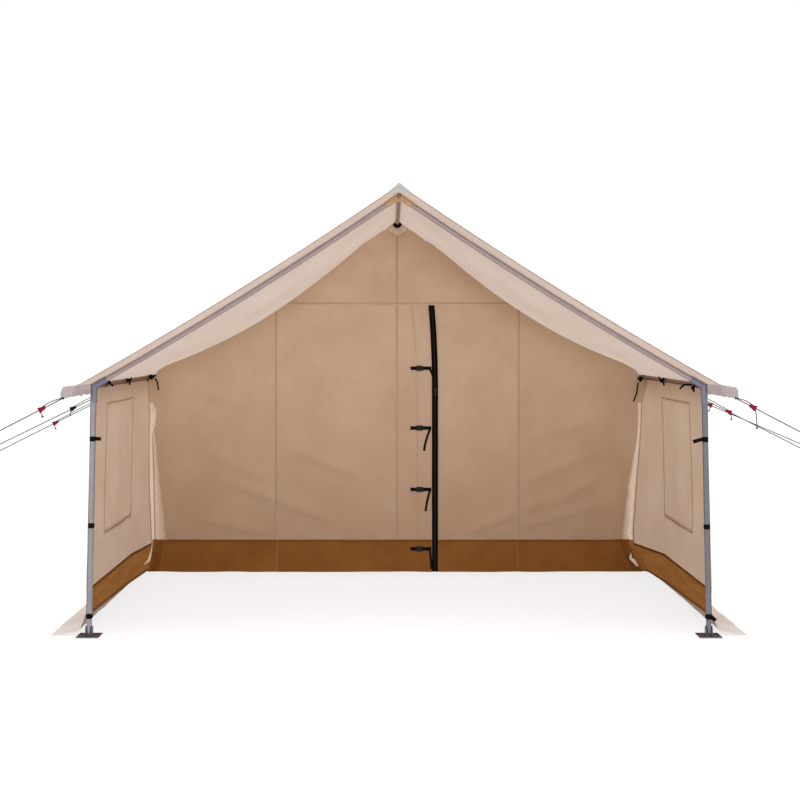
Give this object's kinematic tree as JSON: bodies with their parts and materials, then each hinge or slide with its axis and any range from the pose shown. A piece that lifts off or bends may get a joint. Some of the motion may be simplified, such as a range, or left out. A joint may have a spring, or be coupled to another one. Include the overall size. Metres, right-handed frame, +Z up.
{
  "type": "canvas wall tent",
  "caption": "Canvas wall tent with an open front porch, a zipped and buckled door wall, a closed room, and an internal frame of aluminium tubes on swivelling feet.",
  "frame": {"origin": "on the ground, under the ridge, half way along the roof", "axes": "+X to the right seen from the open porch, +Y from the porch to the rear wall, +Z up"},
  "size_m": [5.9306, 5.366, 2.6671],
  "materials": {
    "aluminium": "brushed",
    "foot_steel": "galvanised",
    "gold_zinc": "yellow zinc plated",
    "roof_canvas": "woven cotton canvas",
    "wall_canvas": "woven cotton canvas",
    "door_canvas": "woven cotton canvas",
    "splash_band": "coated woven cloth",
    "sod_cloth": "coated woven cloth",
    "black_webbing": "woven webbing",
    "black_plastic": "moulded",
    "zip_metal": "satin",
    "guy_rope": "braided",
    "red_anodised": "anodised",
    "dark_anodised": "anodised"
  },
  "bodies": {
    "frame": {"post_front_left": "aluminium", "rafter_front_left": "aluminium", "eave_fitting_front_left": "aluminium", "post_middle_left": "aluminium", "post_rear_left": "aluminium", "eave_pole_left": "aluminium", "roof_left": "roof_canvas", "porch_wall_left": "wall_canvas", "room_wall_left": "wall_canvas", "splash_band_left": "splash_band", "sod_flap_left": "sod_cloth", "guy_rope_front_left": "guy_rope", "guy_rope_middle_left": "guy_rope", "guy_rope_back_left": "guy_rope", "post_front_right": "aluminium", "rafter_front_right": "aluminium", "eave_fitting_front_right": "aluminium", "post_middle_right": "aluminium", "post_rear_right": "aluminium", "eave_pole_right": "aluminium", "roof_right": "roof_canvas", "porch_wall_right": "wall_canvas", "room_wall_right": "wall_canvas", "splash_band_right": "splash_band", "sod_flap_right": "sod_cloth", "guy_rope_front_right": "guy_rope", "guy_rope_middle_right": "guy_rope", "guy_rope_back_right": "guy_rope", "rafters_middle": "aluminium", "rafters_rear": "aluminium", "ridge_pole": "aluminium", "ridge_fitting_front": "gold_zinc", "door_wall": "door_canvas", "rear_wall": "wall_canvas"},
    "door_leaf_left": {"door_leaf_left": "door_canvas", "door_strap_1": "black_plastic", "door_strap_2": "black_plastic", "door_strap_3": "black_plastic", "door_strap_4": "black_plastic"},
    "door_leaf_right": {"door_leaf_right": "door_canvas", "door_zip_band": "black_webbing"},
    "zip_slider": {"zip_slider": "zip_metal"},
    "buckle_tongue_1": {"buckle_tongue_1": "black_plastic"},
    "buckle_tongue_2": {"buckle_tongue_2": "black_plastic"},
    "buckle_tongue_3": {"buckle_tongue_3": "black_plastic"},
    "buckle_tongue_4": {"buckle_tongue_4": "black_plastic"},
    "window_flap_left": {"window_flap_left": "wall_canvas"},
    "foot_front_left": {"foot_front_left": "foot_steel"},
    "foot_middle_left": {"foot_middle_left": "foot_steel"},
    "foot_rear_left": {"foot_rear_left": "foot_steel"},
    "tensioner_front_left": {"tensioner_front_left": "red_anodised"},
    "tensioner_middle_left": {"tensioner_middle_left": "dark_anodised"},
    "tensioner_back_left": {"tensioner_back_left": "red_anodised"},
    "window_flap_right": {"window_flap_right": "wall_canvas"},
    "foot_front_right": {"foot_front_right": "foot_steel"},
    "foot_middle_right": {"foot_middle_right": "foot_steel"},
    "foot_rear_right": {"foot_rear_right": "foot_steel"},
    "tensioner_front_right": {"tensioner_front_right": "red_anodised"},
    "tensioner_middle_right": {"tensioner_middle_right": "red_anodised"},
    "tensioner_back_right": {"tensioner_back_right": "red_anodised"}
  },
  "joints": [
    {"name": "door_left_swing", "type": "hinge", "parent": "frame", "child": "door_leaf_left", "pos_m": [-0.895, -0.517, 0.05], "axis": [0, 0, -1], "range_deg": [0, 75]},
    {"name": "door_right_swing", "type": "hinge", "parent": "frame", "child": "door_leaf_right", "pos_m": [0.898, -0.517, 0.05], "axis": [0, 0, 1], "range_deg": [0, 75]},
    {"name": "zip_slide", "type": "slide", "parent": "door_leaf_right", "child": "zip_slider", "axis": [0, 0, 1], "range_m": [-1.27, 0.6]},
    {"name": "buckle_1_release", "type": "slide", "parent": "door_leaf_left", "child": "buckle_tongue_1", "axis": [1, 0, 0], "range_m": [0, 0.022]},
    {"name": "buckle_2_release", "type": "slide", "parent": "door_leaf_left", "child": "buckle_tongue_2", "axis": [1, 0, 0], "range_m": [0, 0.022]},
    {"name": "buckle_3_release", "type": "slide", "parent": "door_leaf_left", "child": "buckle_tongue_3", "axis": [1, 0, 0], "range_m": [0, 0.022]},
    {"name": "buckle_4_release", "type": "slide", "parent": "door_leaf_left", "child": "buckle_tongue_4", "axis": [1, 0, 0], "range_m": [0, 0.022]},
    {"name": "window_flap_left_lift", "type": "hinge", "parent": "frame", "child": "window_flap_left", "pos_m": [-1.85795, -1.452, 1.38], "axis": [0, 1, 0], "range_deg": [0, 60]},
    {"name": "window_flap_right_lift", "type": "hinge", "parent": "frame", "child": "window_flap_right", "pos_m": [1.85795, -1.452, 1.38], "axis": [0, -1, 0], "range_deg": [0, 60]},
    {"name": "foot_front_left_tilt", "type": "hinge", "parent": "frame", "child": "foot_front_left", "pos_m": [-1.85851, -2.347, 0.045], "axis": [1, 0, 0], "range_deg": [-15, 15]},
    {"name": "foot_front_right_tilt", "type": "hinge", "parent": "frame", "child": "foot_front_right", "pos_m": [1.85851, -2.347, 0.045], "axis": [1, 0, 0], "range_deg": [-15, 15]},
    {"name": "foot_middle_left_tilt", "type": "hinge", "parent": "frame", "child": "foot_middle_left", "pos_m": [-1.85851, 0.093, 0.045], "axis": [1, 0, 0], "range_deg": [-15, 15]},
    {"name": "foot_middle_right_tilt", "type": "hinge", "parent": "frame", "child": "foot_middle_right", "pos_m": [1.85851, 0.093, 0.045], "axis": [1, 0, 0], "range_deg": [-15, 15]},
    {"name": "foot_rear_left_tilt", "type": "hinge", "parent": "frame", "child": "foot_rear_left", "pos_m": [-1.85851, 2.533, 0.045], "axis": [1, 0, 0], "range_deg": [-15, 15]},
    {"name": "foot_rear_right_tilt", "type": "hinge", "parent": "frame", "child": "foot_rear_right", "pos_m": [1.85851, 2.533, 0.045], "axis": [1, 0, 0], "range_deg": [-15, 15]},
    {"name": "tensioner_front_left_slide", "type": "slide", "parent": "frame", "child": "tensioner_front_left", "axis": [-0.8898, 0, -0.4563], "range_m": [-0.03, 0.06]},
    {"name": "tensioner_middle_left_slide", "type": "slide", "parent": "frame", "child": "tensioner_middle_left", "axis": [-0.8978, 0, -0.4403], "range_m": [-0.03, 0.06]},
    {"name": "tensioner_back_left_slide", "type": "slide", "parent": "frame", "child": "tensioner_back_left", "axis": [-0.8948, 0, -0.4465], "range_m": [-0.03, 0.06]},
    {"name": "tensioner_front_right_slide", "type": "slide", "parent": "frame", "child": "tensioner_front_right", "axis": [0.8866, 0, -0.4625], "range_m": [-0.03, 0.06]},
    {"name": "tensioner_middle_right_slide", "type": "slide", "parent": "frame", "child": "tensioner_middle_right", "axis": [0.8927, 0, -0.4506], "range_m": [-0.03, 0.06]},
    {"name": "tensioner_back_right_slide", "type": "slide", "parent": "frame", "child": "tensioner_back_right", "axis": [0.9194, 0, -0.3934], "range_m": [-0.03, 0.06]}
  ]
}
